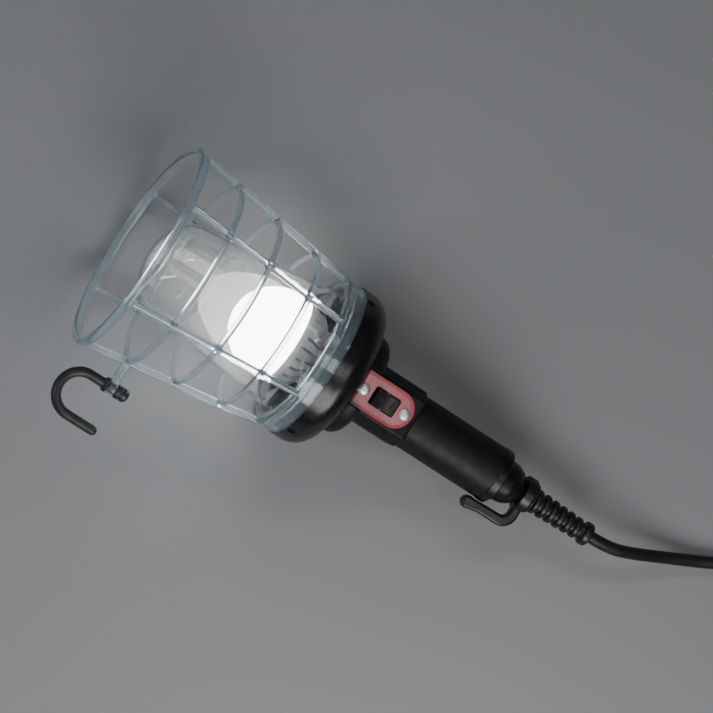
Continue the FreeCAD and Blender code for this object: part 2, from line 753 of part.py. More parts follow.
def plate_outline(sketch, inset):
    """The switch plate: square at the front, fully rounded at the rear."""
    front = dims["plate_front"] + inset
    half = dims["plate_half_width"] - inset
    centre = dims["plate_front"] + dims["plate_length"] - dims["plate_half_width"]
    corner = 1.6
    near = corner * 0.3
    bulge = half.value * 0.7071
    outline(sketch, [
        (front + corner, -half), (centre, -half, Bend(half, (centre.value + bulge, -bulge))),
        (centre + half, 0, Bend(half, (centre.value + bulge, bulge))), (centre, half), (front + corner, half,
        Bend(corner, (front.value + near, half.value - near))), (front, half - corner),
        (front, corner - half, Bend(corner, (front.value + near, near - half.value))),
    ])


def plate_cutouts(sketch, grow, hole):
    """The rocker's window and the two screw holes."""
    middle = dims["pivot_x"]
    long_half = dims["window_length"] / 2 + grow
    short_half = dims["window_width"] / 2 + grow
    rounded_rectangle(sketch, middle - long_half, -short_half, middle + long_half, short_half, 1.4)
    circle(sketch, (dims["plate_screw_front"], 0), hole)
    circle(sketch, (dims["plate_screw_rear"], 0), hole)


def make_switch_plate():
    base = dims["seat_height"] + dims["gasket_thickness"]
    top = base + dims["plate_thickness"]
    recess = 0.6
    rim = 1.8
    screw_hole = 2.1
    gasket = new_body("plate_gasket")
    sketch = new_sketch(gasket, "XY_Plane", dims["seat_height"])
    plate_outline(sketch, -0.5)
    plate_cutouts(sketch, 0.0, screw_hole)
    feature(gasket, "Pad", sketch, Length=dims["gasket_thickness"])
    keep(gasket, "plate_gasket")
    plate = new_body("switch_plate")
    sketch = new_sketch(plate, "XY_Plane", base)
    plate_outline(sketch, 0.0)
    plate_cutouts(sketch, 0.0, screw_hole)
    feature(plate, "Pad", sketch, Length=dims["plate_thickness"])
    sketch = new_sketch(plate, "XY_Plane", top)
    plate_outline(sketch, rim)
    feature(plate, "Pocket", sketch, Length=recess)
    keep(plate, "switch_plate")
    inlay = new_body("switch_inlay")
    sketch = new_sketch(inlay, "XY_Plane", top - recess)
    plate_outline(sketch, rim + 0.05)
    plate_cutouts(sketch, 0.3, screw_hole)
    feature(inlay, "Pad", sketch, Length=recess - 0.1)
    keep(inlay, "switch_inlay")
    members = []
    for place in ("plate_screw_front", "plate_screw_rear"):
        screw = new_screw(place, 3.5, 1.9, 1.6, 6.0)
        screw.Placement.Base = Vector(dims[place].value, 0, top.value)
        members.append(screw)
    group("plate_screws", members)


# ---------------------------------------------------------------- switch

def about_pivot(angle, x, z):
    """A tilt about a cross axis at (x, z)."""
    pivot = Vector(x, 0, z)
    return Placement(Vector(0, 0, 0), Rotation(Vector(0, 1, 0), angle), pivot)


def make_rocker():
    """The rocker, drawn level; its placement leans it to the rear, which is on."""
    x = dims["pivot_x"]
    z = dims["pivot_z"]
    width = 10.8
    body = new_body("rocker")
    side = new_sketch(body, "XZ_Plane", width / 2)
    outline(side, [
        (x - 8.0, z - 1.5), (x - 2.2, z - 1.5), (x - 2.2, z - 6.0), (x + 2.2, z - 6.0),
        (x + 2.2, z - 1.5), (x + 8.0, z - 1.5), (x + 8.0, z + 4.6, Bend(27.27, (x.value, z.value + 3.4))),
        (x - 8.0, z + 4.6),
    ])
    feature(body, "Pad", side, Length=width, Reversed=True)
    top = z.value + 2.0
    fillet(body, lambda edge: edge.BoundBox.ZMin > top, 0.5)
    pin = new_sketch(body, "XZ_Plane", width / 2)
    circle(pin, (x, z), 1.26)
    feature(body, "Pocket", pin, Length=width)
    plunger = new_sketch(body, "XY_Plane", z - 6.0)
    circle(plunger, (x, 0), 1.3)
    feature(body, "Pocket", plunger, Length=3.8, Reversed=True)
    mark = new_sketch(body, "XY_Plane", z + 3.0)
    rounded_rectangle(mark, x + 4.2, -2.2, x + 5.2, 2.2, 0.3)
    circle(mark, (x - 4.4, 0), 1.5)
    circle(mark, (x - 4.4, 0), 0.9)
    feature(body, "Pad", mark, Length=1.0)
    return keep(body, "rocker")


def make_switch():
    x = dims["pivot_x"]
    z = dims["pivot_z"]
    body = new_body("switch_body")
    half_length = 11.0
    half_width = 7.4
    wall = 1.8
    base = new_sketch(body, "XY_Plane", SWITCH_BOTTOM)
    rounded_rectangle(base, x - half_length, -half_width, x + half_length, half_width, 0.8)
    feature(body, "Pad", base, Length=SWITCH_TOP - SWITCH_BOTTOM)
    well = new_sketch(body, "XY_Plane", SWITCH_TOP)
    rounded_rectangle(well, x - half_length + wall, wall - 0.2 - half_width, x + half_length - wall,
                      half_width + 0.2 - wall, 0.5)
    feature(body, "Pocket", well, Length=SWITCH_TOP - STUD_FOOT)
    keep(body, "switch_body")
    make_pin(x, z)
    make_plunger(x, z)
    make_lever(x)
    make_terminals(x)


def make_pin(x, z):
    pin = doc.addObject("Part::Cylinder", "rocker_pin")
    pin.Radius = 1.2
    pin.Height = 11.6
    pin.Placement = Placement(Vector(x.value, 5.8, z.value), Rotation(Vector(1, 0, 0), 90))
    keep(pin, "rocker_pin")


def make_plunger(x, z):
    """A round-nosed pin in the rocker's stem, with its spring, drawn as touching rings, above it."""
    body = new_body("switch_plunger")
    nose = 1.1
    sketch = new_sketch(body, "XZ_Plane")
    outline(sketch, [(0, -10.4, Bend(nose, (0.78, -10.08))), (nose, -9.3), (nose, -5.0), (0, -5.0)])
    feature(body, "Revolution", sketch, ReferenceAxis=(sketch, ["V_Axis"]), Angle=360.0)
    body.Placement.Base = Vector(x.value, 0, z.value)
    keep(body, "switch_plunger")
    spring = new_body("switch_spring")
    rings = new_sketch(spring, "XZ_Plane")
    profile = thread_outline(-4.8, -2.2, 0.95, 1.2, 0.3, 0.52)
    outline(rings, [(radius, height) for height, radius in profile])
    feature(spring, "Revolution", rings, ReferenceAxis=(rings, ["V_Axis"]), Angle=360.0)
    spring.Placement.Base = Vector(x.value, 0, z.value)
    keep(spring, "switch_spring")


def make_lever(x):
    """The seesaw contact under the plunger."""
    body = new_body("contact_lever")
    width = 4.0
    pivot = dims["lever_z"]
    side = new_sketch(body, "XZ_Plane", width / 2)
    outline(side, [(x - 7.0, pivot + 0.9), (x, pivot), (x + 7.0, pivot + 0.9), (x + 7.0, pivot + 1.7),
                   (x, pivot + 0.8), (x - 7.0, pivot + 1.7)])
    feature(body, "Pad", side, Length=width, Reversed=True)
    bead = new_sketch(body, "XZ_Plane", width / 2)
    circle(bead, (x, pivot), 0.6)
    feature(body, "Pad", bead, Length=width, Reversed=True)
    keep(body, "contact_lever")


def make_terminals(x):
    """Three blades under the switch and the three studs that they feed."""
    members = []
    for number, (shift, stud_top) in enumerate([(-6.8, 8.8), (0.0, 8.3), (6.8, 8.8)]):
        for kind, low, high, half in (("blade", TERMINAL_FOOT, SWITCH_BOTTOM, 2.4),
                                      ("stud", STUD_FOOT, stud_top, 1.5)):
            item = doc.addObject("Part::Box", f"terminal_{kind}_{number}")
            item.Length = 0.8
            item.Width = 2 * half
            item.Height = high - low
            item.Placement.Base = Vector(x.value + shift - 0.4, -half, low)
            members.append(item)
    group("switch_terminals", members)


# ---------------------------------------------------------------- cord entry

def make_cord_entry():
    rear = dims["grip_rear"].value
    x = dims["pivot_x"].value
    socket_rear = dims["neck_front"].value + 5.3
    start = rear - 36.0
    inner = doc.addObject("Part::Cylinder", "cord_inner_end")
    inner.setExpression("Radius", "dims.cord_radius")
    inner.setExpression("Height", f"dims.boot_rear - {start}")
    inner.Placement = Placement(Vector(start, 0, 0), Rotation(Vector(0, 1, 0), 90))
    keep(inner, "cord_inner_end")
    rod("wire_feed", [Vector(start - 0.6, 0, 2.0), Vector(start - 14, 2, -3), Vector(x + 21, 3, -8),
                      Vector(x + 10, 1, -9), Vector(x + 6.8, 0, -3.6)], 1.0)
    rod("wire_switched", [Vector(x - 6.8, 0, -3.6), Vector(x - 7.5, 2, -8),
                          Vector(socket_rear + 4.5, 4, -10), Vector(socket_rear, 5, -9)], 1.0)
    rod("wire_neutral", [Vector(start - 0.6, 0, -2.0), Vector(start - 18, -5, -6), Vector(x + 11, -7, -9),
                         Vector(x - 6, -8, -8.5), Vector(socket_rear, -9, -6)], 1.0)
    jaws = []
    jaw_front = rear - 24.0
    jaw_length = 8.0
    jaw_width = 23.0
    jaw_height = 6.0
    gap = 0.4
    for number, low in enumerate((gap, -gap - jaw_height)):
        jaw = doc.addObject("Part::Box", f"clamp_jaw_{number}")
        jaw.Length = jaw_length
        jaw.Width = jaw_width
        jaw.Height = jaw_height
        jaw.Placement.Base = Vector(jaw_front, -jaw_width / 2, low)
        jaws.append(jaw)
    pair = doc.addObject("Part::MultiFuse", "clamp_jaws")
    pair.Shapes = jaws
    holes = []
    channel = doc.addObject("Part::Cylinder", "clamp_channel")
    channel.Radius = 4.02
    channel.Height = 12.0
    channel.Placement = Placement(Vector(jaw_front - 2.0, 0, 0), Rotation(Vector(0, 1, 0), 90))
    holes.append(channel)
    screws = []
    screw_x = jaw_front + jaw_length / 2
    for number, y in enumerate((-7.9, 7.9)):
        hole = doc.addObject("Part::Cylinder", f"clamp_hole_{number}")
        hole.Radius = 1.5
        hole.Height = 14.0
        hole.Placement.Base = Vector(screw_x, y, -7.0)
        holes.append(hole)
        screw = new_screw(f"clamp_screw_{number}", 2.6, 1.6, 1.4, 13.0)
        screw.Placement.Base = Vector(screw_x, y, gap + jaw_height)
        screws.append(screw)
    drill = doc.addObject("Part::MultiFuse", "clamp_holes")
    drill.Shapes = holes
    clamp = doc.addObject("Part::Cut", "cord_clamp")
    clamp.Base = pair
    clamp.Tool = drill
    keep(clamp, "cord_clamp")
    group("clamp_screws", screws)
    make_end_cap()
    make_boot()


def make_end_cap():
    rear = dims["grip_rear"]
    journal = dims["journal_radius"]
    turned("end_cap", [
        (rear - 8.0, 12.0), (rear - 8.0, 14.8), (rear, 14.8), (rear, 18.0), (rear + 0.7, 18.5),
        (rear + 5.2, 18.5), (rear + 6.0, 17.7), (rear + 6.5, 14.3),
        (rear + 13.0, 13.6, Bend(14.0, (rear + 17.3, 11.9))), (rear + 21.0, 9.4), (rear + 23.0, journal),
        (rear + CAP_NECK - 0.3, journal), (rear + CAP_NECK - 0.3, 6.4), (rear + 2.0, 6.4),
        (rear + 2.0, 12.0),
    ])


def make_boot():
    """The strain relief: a flange inside the cap, a shoulder, six ribs and an end collar."""
    bore = dims["cord_radius"] + 0.05
    cap = dims["grip_rear"]
    end = dims["boot_rear"]
    first = cap + 33.2
    pitch = (end - 6.4 - first) / BOOT_RIBS
    points = [(cap - 1.8, bore), (cap - 1.8, 10.5), (cap + 1.6, 10.5), (cap + 1.6, 6.3),
              (cap + CAP_NECK, 6.3), (cap + CAP_NECK, 10.0), (cap + 31.2, 10.4), (cap + 32.4, 10.0),
              (cap + 32.8, 6.4)]
    for number in range(BOOT_RIBS):
        x = first + pitch * (number - 0.05)
        rib = 8.2 - 0.24 * number
        groove = 6.3 - 0.16 * number
        points += [(x, groove), (x + 0.5, rib - 0.5), (x + 1.1, rib), (x + 3.1, rib), (x + 3.7, rib - 0.5),
                   (x + 4.2, groove)]
    points += [(end - 6.2, 5.5), (end - 5.6, 7.3), (end - 5.0, 7.8), (end - 1.2, 7.6), (end - 0.4, 7.0),
               (end, 6.2), (end, bore)]
    turned("cord_boot", points)


# ---------------------------------------------------------------- hooks

def make_rear_hook():
    """A moulded hook whose ring turns on the end cap's neck."""
    cap = dims["grip_rear"]
    body = new_body("rear_hook")
    thickness = 8.0
    arm = new_sketch(body, "XY_Plane", -thickness / 2)
    outline(arm, [
        (cap + 29.9, -9.0), (cap + 29.9, -15.5, Bend(10.0, (cap + 26.97, -22.57))), (cap + 19.9, -25.5),
        (cap + 6.0, -25.5), (cap - 0.5, -26.73, Bend(4.2, (cap - 6.8, -23.1))), (cap - 1.2, -19.14),
        (cap + 6.0, -18.95), (cap + 19.4, -18.6, Bend(4.2, (cap + 22.37, -17.37))), (cap + 23.6, -14.4),
        (cap + 23.6, -9.0),
    ])
    feature(body, "Pad", arm, Length=thickness)
    fillet(body, lambda edge: edge.BoundBox.ZLength < 0.01, 1.9)
    front = cap + 23.3
    rear = cap + 29.9
    bore = dims["journal_radius"] + 0.07
    revolve(body, [(front, bore), (front, 11.2), (front + 0.6, 11.8), (rear - 0.6, 11.8), (rear, 11.2),
                   (rear, bore)])
    revolve(body, [(front - 1.3, 0), (front - 1.3, bore), (rear + 1.1, bore), (rear + 1.1, 0)], "Groove")
    return keep(body, "rear_hook")


def make_front_hook():
    """A coated rod bent to a J; its thin bare end turns in the lug between sleeve and knob."""
    rod_radius = dims["hook_rod_radius"]
    neck = dims["hook_neck_radius"]
    shank = dims["hook_shank_y"]
    bend = dims["hook_bend_radius"]
    x = dims["hook_bend_x"]
    front = dims["lug_front"]
    rear = front + dims["lug_length"]
    body = new_body("front_hook")
    spine = new_sketch(body, "XY_Plane")
    coat_end = front - 3.0
    leg_end = 41.5
    lines = [
        Part.LineSegment(Vector(coat_end.value, shank.value, 0), Vector(x.value, shank.value, 0)),
        Part.Arc(Vector(x.value, shank.value, 0), Vector(x.value - bend.value, (shank - bend).value, 0),
                 Vector(x.value, (shank - bend * 2).value, 0)),
        Part.LineSegment(Vector(x.value, (shank - bend * 2).value, 0),
                         Vector(leg_end, (shank - bend * 2).value, 0)),
    ]
    arc = lines[1].toShape()
    lines[1] = Part.ArcOfCircle(arc.Curve, *arc.ParameterRange)
    for line in lines:
        spine.addGeometry(line, False)
    bind(spine, "DistanceX", 0, 1, coat_end)
    bind(spine, "DistanceY", 0, 1, shank)
    section = new_sketch(body, "YZ_Plane", coat_end)
    circle(section, (shank, 0), rod_radius)
    pipe = body.newObject("PartDesign::AdditivePipe", "front_hook_rod")
    pipe.Profile = section
    pipe.Spine = (spine, ["Edge1", "Edge2", "Edge3"])
    doc.recompute()
    leg = (shank - bend * 2).value + 5.0
    fillet(body, lambda edge: edge.BoundBox.XMin > leg_end - 0.1 and edge.BoundBox.YMax < leg, 3.0)
    bare = new_sketch(body, "YZ_Plane", coat_end - 2.0)
    circle(bare, (shank, 0), neck)
    feature(body, "Pad", bare, Length=rear + 8.0 - coat_end)
    keep(body, "front_hook")
    collar = turned("front_hook_collar", [
        (coat_end + 0.05, neck + 0.02), (coat_end + 0.05, 4.3), (coat_end + 1.0, 4.7),
        (front - 0.8, 4.9), (front - 0.2, 4.5), (front - 0.2, neck + 0.02),
    ])
    start = rear + 0.2
    knob = turned("front_hook_knob", [
        (start, neck + 0.02), (start, 4.0), (start + 0.7, 4.5), (start + 3.1, 4.5), (start + 3.6, 4.0),
        (start + 4.4, 4.0), (start + 4.9, 4.4), (start + 7.0, 4.2), (start + 8.5, 2.9),
        (start + 9.2, 0), (start + 6.0, 0), (start + 6.0, neck + 0.02),
    ])
    for item in (collar, knob):
        item.Placement.Base = Vector(0, shank.value, 0)


make_guard()
make_globe()
turned("globe_gasket", [(FLANGE_REAR, GASKET_INSIDE), (FLANGE_REAR, FLANGE_RADIUS),
                        (GASKET_REAR, FLANGE_RADIUS), (GASKET_REAR, GASKET_INSIDE)])
make_head_housing()
screws_round_axis("guard_screws", Vector(dims["rim_front"].value + RIM_SCREW_SETBACK, 0, 51.4), True,
                  (2.6, 1.1, 1.5, 3.4))
screws_round_axis("neck_screws", Vector(dims["neck_front"].value - 4.5, 0, NECK_SCREW_CIRCLE), False,
                  (3.4, 2.0, 1.8, 9.0))
make_bulb()
make_socket()
make_handle()
make_switch_plate()
make_rocker()
make_switch()
make_cord_entry()
make_rear_hook()
make_front_hook()


# ---------------------------------------------------------------- laying the lamp down

def rest_tilt():
    """Angle of the axis when the mouth ring and the head's rim touch one plane."""
    corner = dims["ring_corner"].value
    ring_x = dims["ring_length"].value - corner
    ring_r = dims["ring_radius"].value - corner
    head_x = dims["rim_front"].value + RIM_LENGTH
    head_r = dims["rim_radius"].value - RIM_SHOULDER
    slope = math.atan2(ring_r - head_r, head_x - ring_x)
    span = math.hypot(ring_r - head_r, head_x - ring_x)
    tilt = slope + math.asin((corner - RIM_SHOULDER) / span)
    lift = ring_x * math.sin(tilt) + ring_r * math.cos(tilt) + corner
    return math.degrees(tilt), lift


def lay_down():
    """Give every sub-part the placement that rests the lamp on z = 0 about its box's centre."""
    tilt, lift = rest_tilt()
    turn = Placement(Vector(0, 0, lift), Rotation(Vector(0, 1, 0), tilt))
    for label, item in parts.items():
        item.Placement = turn.multiply(item.Placement)
    box = FreeCAD.BoundBox()
    for item in parts.values():
        box.add(item.Shape.optimalBoundingBox(True, False))
    centre = Vector(-box.Center.x, -box.Center.y, 0)
    for item in parts.values():
        item.Placement.Base = item.Placement.Base + centre
    turn.Base = turn.Base + centre
    print(f"tilt {tilt:.3f}, placement {turn.Base}, box {box}")
    return turn


# ---------------------------------------------------------------- free cord and plug

LEAD_ROUTE = [(174.1, 21.3, 26.7), (189.0, 21.4, 24.8), (206.0, 27.2, 18.8), (225.0, 35.9, 11.3),
              (246.0, 45.2, 5.9), (270.0, 57.5, 4.2), (296.0, 78.0, 4.0), (324.0, 100.0, 4.0)]
COIL_CENTRE = (351.3, 41.5)
COIL_INNER = 36.5
COIL_OUTER = 68.5
COIL_HEIGHT = 28.8
TAIL_ROUTE = [(408.2, 62.2, 24.8), (415.0, 43.4, 25.2), (420.3, 24.5, 22.0), (423.5, 5.5, 14.5),
              (423.5, -13.0, 8.8), (420.0, -30.5, 7.5)]
TIE_ANGLE = -60.0
TIE_WIDTH = 12.0
TIE_THICKNESS = 1.0
PLUG_THICKNESS = 15.0
PLUG_BOOT_LENGTH = 16.0


def ring_section(body, plane, grow, corner, offset=0):
    sketch = new_sketch(body, plane, offset)
    rounded_rectangle(sketch, COIL_INNER - grow, max(0.0, -grow), COIL_OUTER + grow, COIL_HEIGHT + grow,
                      corner)
    return sketch


def make_free_cord():
    radius = dims["cord_radius"].value
    rod("cord_lead", [Vector(*point) for point in LEAD_ROUTE], radius)
    rod("cord_tail", [Vector(*point) for point in TAIL_ROUTE], radius)
    coil = new_body("cord_coil")
    section = ring_section(coil, "XZ_Plane", 0.0, 4.0)
    feature(coil, "Revolution", section, ReferenceAxis=(section, ["V_Axis"]), Angle=360.0)
    keep(coil, "cord_coil")
    tie = new_body("coil_tie")
    outside = ring_section(tie, "XZ_Plane", 0.2 + TIE_THICKNESS, 5.0, TIE_WIDTH / 2)
    feature(tie, "Pad", outside, Length=TIE_WIDTH, Reversed=True)
    inside = new_sketch(tie, "XZ_Plane", TIE_WIDTH / 2 + 1.0)
    rounded_rectangle(inside, COIL_INNER - 0.2, TIE_THICKNESS, COIL_OUTER + 0.2, COIL_HEIGHT + 0.2, 4.0)
    feature(tie, "Pocket", inside, Length=TIE_WIDTH + 2.0)
    keep(tie, "coil_tie")
    coil.Placement.Base = Vector(*COIL_CENTRE, 0)
    tie.Placement = Placement(Vector(*COIL_CENTRE, 0), Rotation(Vector(0, 0, 1), TIE_ANGLE))
    doc.recompute()


def make_plug():
    """A flat two-blade mains plug at the end of the tail."""
    end = Vector(*TAIL_ROUTE[-1])
    heading = (end - Vector(*TAIL_ROUTE[-2]))
    heading.z = 0
    heading.normalize()
    angle = math.degrees(math.atan2(heading.y, heading.x))
    place = Placement(end + heading * PLUG_BOOT_LENGTH, Rotation(Vector(0, 0, 1), angle))
    body = new_body("plug_body")
    shape = new_sketch(body, "XY_Plane", -PLUG_THICKNESS / 2)
    outline(shape, [(0, -7.5), (9.0, -12.0), (26.0, -13.0), (30.0, -12.0), (30.0, 12.0), (26.0, 13.0),
                    (9.0, 12.0), (0, 7.5)])
    feature(body, "Pad", shape, Length=PLUG_THICKNESS)
    fillet(body, lambda edge: edge.BoundBox.ZLength < 0.01, 2.8)
    keep(body, "plug_body").Placement = place
    blades = []
    for number, side in enumerate((-6.35, 6.35)):
        blade = new_body(f"plug_blade_{number}")
        thickness = 1.5
        profile = new_sketch(blade, "XZ_Plane", thickness / 2 - side)
        outline(profile, [(30.0, -3.15), (45.5, -3.15), (47.0, -1.9), (47.0, 1.9), (45.5, 3.15),
                          (30.0, 3.15)])
        circle(profile, (42.0, 0), 1.6)
        feature(blade, "Pad", profile, Length=thickness, Reversed=True)
        blades.append(blade)
    group("plug_blades", blades).Placement = place
    bore = dims["cord_radius"] + 0.05
    boot = turned("plug_boot", [
        (-PLUG_BOOT_LENGTH, bore), (-PLUG_BOOT_LENGTH, 4.9), (-12.5, 5.3), (-12.5, 4.7), (-10.5, 4.8),
        (-10.5, 5.7), (-7.0, 6.1), (-7.0, 5.2), (-5.0, 5.3), (-5.0, 6.4), (0, 7.0), (0, bore)])
    boot.Placement = place


def export_parts():
    """Refuse anything that failed, then write one STEP file for each sub-part."""
    for item in doc.Objects:
        if "Invalid" in item.State or "Error" in item.State:
            raise RuntimeError(f"{item.Label} failed: {item.State}")
    os.makedirs("parts", exist_ok=True)
    for label, item in parts.items():
        shape = item.Shape
        if shape.isNull() or not shape.isValid():
            raise RuntimeError(f"{label} has no valid shape")
        shape.exportStep(os.path.join("parts", f"{label}.step"))
    print(f"{len(parts)} sub-parts written")


lying = lay_down()
lean = about_pivot(ROCKER_TILT, dims["pivot_x"].value, dims["pivot_z"].value)
for label in ("rocker", "switch_plunger", "switch_spring"):
    upright = lying.inverse().multiply(parts[label].Placement)
    parts[label].Placement = lying.multiply(lean).multiply(upright)
lever_lean = about_pivot(-ROCKER_TILT, dims["pivot_x"].value, dims["lever_z"].value)
parts["contact_lever"].Placement = lying.multiply(lever_lean)
make_free_cord()
make_plug()
doc.recompute()
exit_point = lying.multVec(Vector(dims["boot_rear"].value, 0, 0))
print("cord leaves the strain relief at", exit_point)
export_parts()
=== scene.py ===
"""A caged hand lamp: the looks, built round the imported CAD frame."""

import json
import math

import bmesh
import bpy
from mathutils import Euler, Matrix, Vector


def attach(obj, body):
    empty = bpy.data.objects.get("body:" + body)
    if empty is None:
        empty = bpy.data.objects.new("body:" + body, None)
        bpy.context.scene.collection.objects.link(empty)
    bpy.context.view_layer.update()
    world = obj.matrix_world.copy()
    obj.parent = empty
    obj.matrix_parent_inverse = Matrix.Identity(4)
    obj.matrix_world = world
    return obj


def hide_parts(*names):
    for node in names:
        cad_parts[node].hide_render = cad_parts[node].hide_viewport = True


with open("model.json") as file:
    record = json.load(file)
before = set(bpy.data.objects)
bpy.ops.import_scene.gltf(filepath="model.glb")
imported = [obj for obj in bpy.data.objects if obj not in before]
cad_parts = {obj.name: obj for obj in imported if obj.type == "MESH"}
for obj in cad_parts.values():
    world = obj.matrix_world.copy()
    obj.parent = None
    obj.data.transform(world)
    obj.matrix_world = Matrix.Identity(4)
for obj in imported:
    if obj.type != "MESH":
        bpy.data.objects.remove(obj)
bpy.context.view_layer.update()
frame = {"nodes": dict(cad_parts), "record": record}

# The lamp's own coordinates, in millimetres: X along its axis from the guard's mouth, +Z the
# switch side, both hooks towards -Y.  LAMP takes them to the row's frame, in metres.
MM = 0.001
TILT = math.radians(7.259)
ORIGIN = Vector((-0.166189, 0.021325, 0.070008))
LAMP = Matrix.Translation(ORIGIN) @ Matrix.Rotation(TILT, 4, "Y") @ Matrix.Scale(MM, 4)


# ------------------------------------------------------------------ material helpers

MATERIALS = {}
NOISE_ROUGHNESS = 0.55
GLOSS_FINENESS = 2.3                    # a plastic's gloss patches, against its colour patches
COAT_ROUGHNESS = 0.06
METAL_PATCHES = 160.0                   # lumps per metre of a metal's colour
METAL_GRAIN = (900.0, 0.25, 0.00002)    # lumps per metre, strength and height in metres
CLEAR_PATCHES = 60.0                    # lumps per metre of a clear part's gloss
CLEAR_WAVES = (70.0, 0.0002)            # lumps per metre and height in metres


def new_material(name):
    """Start a material, kept in MATERIALS under its name."""
    item = bpy.data.materials.new(name)
    item.use_nodes = True
    MATERIALS[name] = item
    return item.node_tree, item.node_tree.nodes["Principled BSDF"]


def noise(tree, scale, detail=3.0, distortion=0.0, tilted=False):
    """A noise pattern with scale lumps to a metre, level or tilted with the lamp."""
    coords = tree.nodes.new("ShaderNodeTexCoord").outputs["Object"]
    if tilted:
        mapping = tree.nodes.new("ShaderNodeMapping")
        mapping.inputs["Rotation"].default_value = (0.0, -TILT, 0.0)
        tree.links.new(coords, mapping.inputs["Vector"])
        coords = mapping.outputs["Vector"]
    texture = tree.nodes.new("ShaderNodeTexNoise")
    texture.inputs["Scale"].default_value = scale
    texture.inputs["Detail"].default_value = detail
    texture.inputs["Roughness"].default_value = NOISE_ROUGHNESS
    texture.inputs["Distortion"].default_value = distortion
    tree.links.new(coords, texture.inputs["Vector"])
    return texture.outputs["Fac"]


def colour_spread(tree, shader, factor, dark, light, low=0.35, high=0.65):
    """Mottle the base colour between dark and light."""
    ramp = tree.nodes.new("ShaderNodeValToRGB")
    for element, position, colour in zip(ramp.color_ramp.elements, (low, high), (dark, light)):
        element.position = position
        element.color = (*colour, 1.0)
    tree.links.new(factor, ramp.inputs["Fac"])
    tree.links.new(ramp.outputs["Color"], shader.inputs["Base Color"])


def roughness_spread(tree, shader, factor, rough):
    """Vary the roughness between the two values of rough."""
    spread = tree.nodes.new("ShaderNodeMapRange")
    spread.inputs["From Min"].default_value = 0.3
    spread.inputs["From Max"].default_value = 0.7
    spread.inputs["To Min"].default_value, spread.inputs["To Max"].default_value = rough
    tree.links.new(factor, spread.inputs["Value"])
    tree.links.new(spread.outputs["Result"], shader.inputs["Roughness"])


def bump(tree, shader, factor, strength, height):
    """Raise the surface by a pattern whose whole height is given in metres."""
    node = tree.nodes.new("ShaderNodeBump")
    node.inputs["Strength"].default_value = strength
    node.inputs["Distance"].default_value = height
    tree.links.new(factor, node.inputs["Height"])
    tree.links.new(node.outputs["Normal"], shader.inputs["Normal"])


def plastic(name, dark, light, rough, grain=None, coat=0.0, specular=0.5, patches=90.0):
    """Moulded plastic or rubber: mottled colour, uneven gloss and a fine grain."""
    tree, shader = new_material(name)
    colour_spread(tree, shader, noise(tree, patches, 4.0), dark, light)
    roughness_spread(tree, shader, noise(tree, patches * GLOSS_FINENESS, 5.0), rough)
    shader.inputs["Specular IOR Level"].default_value = specular
    if coat:
        shader.inputs["Coat Weight"].default_value = coat
        shader.inputs["Coat Roughness"].default_value = COAT_ROUGHNESS
    if grain:
        scale, strength, height = grain
        bump(tree, shader, noise(tree, scale, 2.0), strength, height)


def metal(name, dark, light, rough):
    """Bare or plated metal with a fine grain."""
    tree, shader = new_material(name)
    shader.inputs["Metallic"].default_value = 1.0
    colour_spread(tree, shader, noise(tree, METAL_PATCHES, 4.0), dark, light)
    scale, strength, height = METAL_GRAIN
    grain = noise(tree, scale, 4.0, tilted=True)
    roughness_spread(tree, shader, grain, rough)
    bump(tree, shader, grain, strength, height)


def clear(name, tint, ior, rough, through, wave):
    """Clear plastic or glass with a faint tint, uneven gloss and a slight waviness."""
    tree, shader = new_material(name)
    shader.inputs["Base Color"].default_value = (*tint, 1.0)
    shader.inputs["Transmission Weight"].default_value = through
    shader.inputs["IOR"].default_value = ior
    roughness_spread(tree, shader, noise(tree, CLEAR_PATCHES), rough)
    scale, height = CLEAR_WAVES
    bump(tree, shader, noise(tree, scale, 1.0), wave, height)


def opal(name):
    """A lit opal dome."""
    tree, shader = new_material(name)
    shader.inputs["Base Color"].default_value = (0.95, 0.95, 0.93, 1.0)
    roughness_spread(tree, shader, noise(tree, 120.0), (0.35, 0.45))
    shader.inputs["Subsurface Weight"].default_value = 0.2
    shader.inputs["Subsurface Scale"].default_value = 0.004
    shader.inputs["Emission Color"].default_value = (1.0, 0.985, 0.95, 1.0)
    shader.inputs["Emission Strength"].default_value = 13.0


def circuit(name):
    """Green board with copper-coloured tracks."""
    tree, shader = new_material(name)
    tracks = noise(tree, 420.0, 0.0, distortion=1.5)
    colour_spread(tree, shader, tracks, (0.01, 0.12, 0.05), (0.35, 0.28, 0.10), 0.56, 0.6)
    shader.inputs["Roughness"].default_value = 0.4


